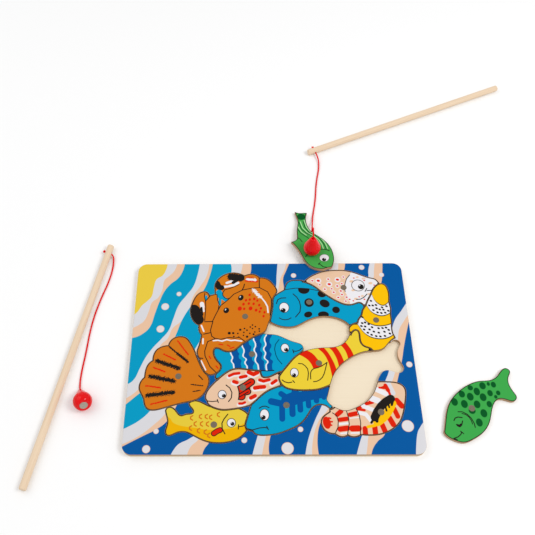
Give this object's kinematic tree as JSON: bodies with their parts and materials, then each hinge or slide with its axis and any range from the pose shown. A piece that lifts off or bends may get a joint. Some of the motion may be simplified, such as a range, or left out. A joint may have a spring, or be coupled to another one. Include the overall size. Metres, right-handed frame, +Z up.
{
  "type": "magnetic fishing game",
  "caption": "Wooden picture board of sea creatures that lift out, with two rods whose magnets pick the creatures up by a steel pin.",
  "frame": {"origin": "centre of the board's underside, on the floor", "axes": "+X along the board's long side to the player's right, +Y away from the player, +Z up out of the printed face"},
  "size_m": [0.5628, 0.5403, 0.0399],
  "materials": {
    "base_ply": "sanded plywood",
    "board_print": "plywood with a printed, varnished face",
    "green_spotted_fish": "plywood with a printed, varnished face",
    "green_striped_fish": "plywood with a printed, varnished face",
    "crab": "plywood with a printed, varnished face",
    "scallop_shell": "plywood with a printed, varnished face",
    "cone_shell": "plywood with a printed, varnished face",
    "striped_fish": "plywood with a printed, varnished face",
    "blotched_fish": "plywood with a printed, varnished face",
    "ribbed_fish": "plywood with a printed, varnished face",
    "speckled_fish": "plywood with a printed, varnished face",
    "spotted_fish": "plywood with a printed, varnished face",
    "wavy_fish": "plywood with a printed, varnished face",
    "goldfish": "plywood with a printed, varnished face",
    "whelk_shell": "plywood with a printed, varnished face",
    "pin_steel": "dull",
    "magnet": "dull nickel",
    "rod_wood": "sanded",
    "float_lacquer": "gloss lacquer",
    "line_cotton": "waxed twist"
  },
  "bodies": {
    "root": {"base_board": "base_ply", "play_board": "board_print", "filler_left": "board_print", "filler_low": "board_print", "filler_middle": "board_print", "green_spotted_fish": "green_spotted_fish", "pin_green_spotted_fish": "pin_steel", "green_striped_fish": "green_striped_fish", "pin_green_striped_fish": "pin_steel", "crab": "crab", "pin_crab": "pin_steel", "scallop_shell": "scallop_shell", "pin_scallop_shell": "pin_steel", "cone_shell": "cone_shell", "pin_cone_shell": "pin_steel", "striped_fish": "striped_fish", "pin_striped_fish": "pin_steel", "blotched_fish": "blotched_fish", "pin_blotched_fish": "pin_steel", "ribbed_fish": "ribbed_fish", "pin_ribbed_fish": "pin_steel", "speckled_fish": "speckled_fish", "pin_speckled_fish": "pin_steel", "spotted_fish": "spotted_fish", "pin_spotted_fish": "pin_steel", "wavy_fish": "wavy_fish", "pin_wavy_fish": "pin_steel", "goldfish": "goldfish", "pin_goldfish": "pin_steel", "whelk_shell": "whelk_shell", "pin_whelk_shell": "pin_steel", "rod_1": "rod_wood", "line_1": "line_cotton", "knot_1": "line_cotton", "float_1": "float_lacquer", "magnet_1": "magnet", "rod_2": "rod_wood", "line_2": "line_cotton", "knot_2": "line_cotton", "float_2": "float_lacquer", "magnet_2": "magnet"}
  },
  "joints": []
}
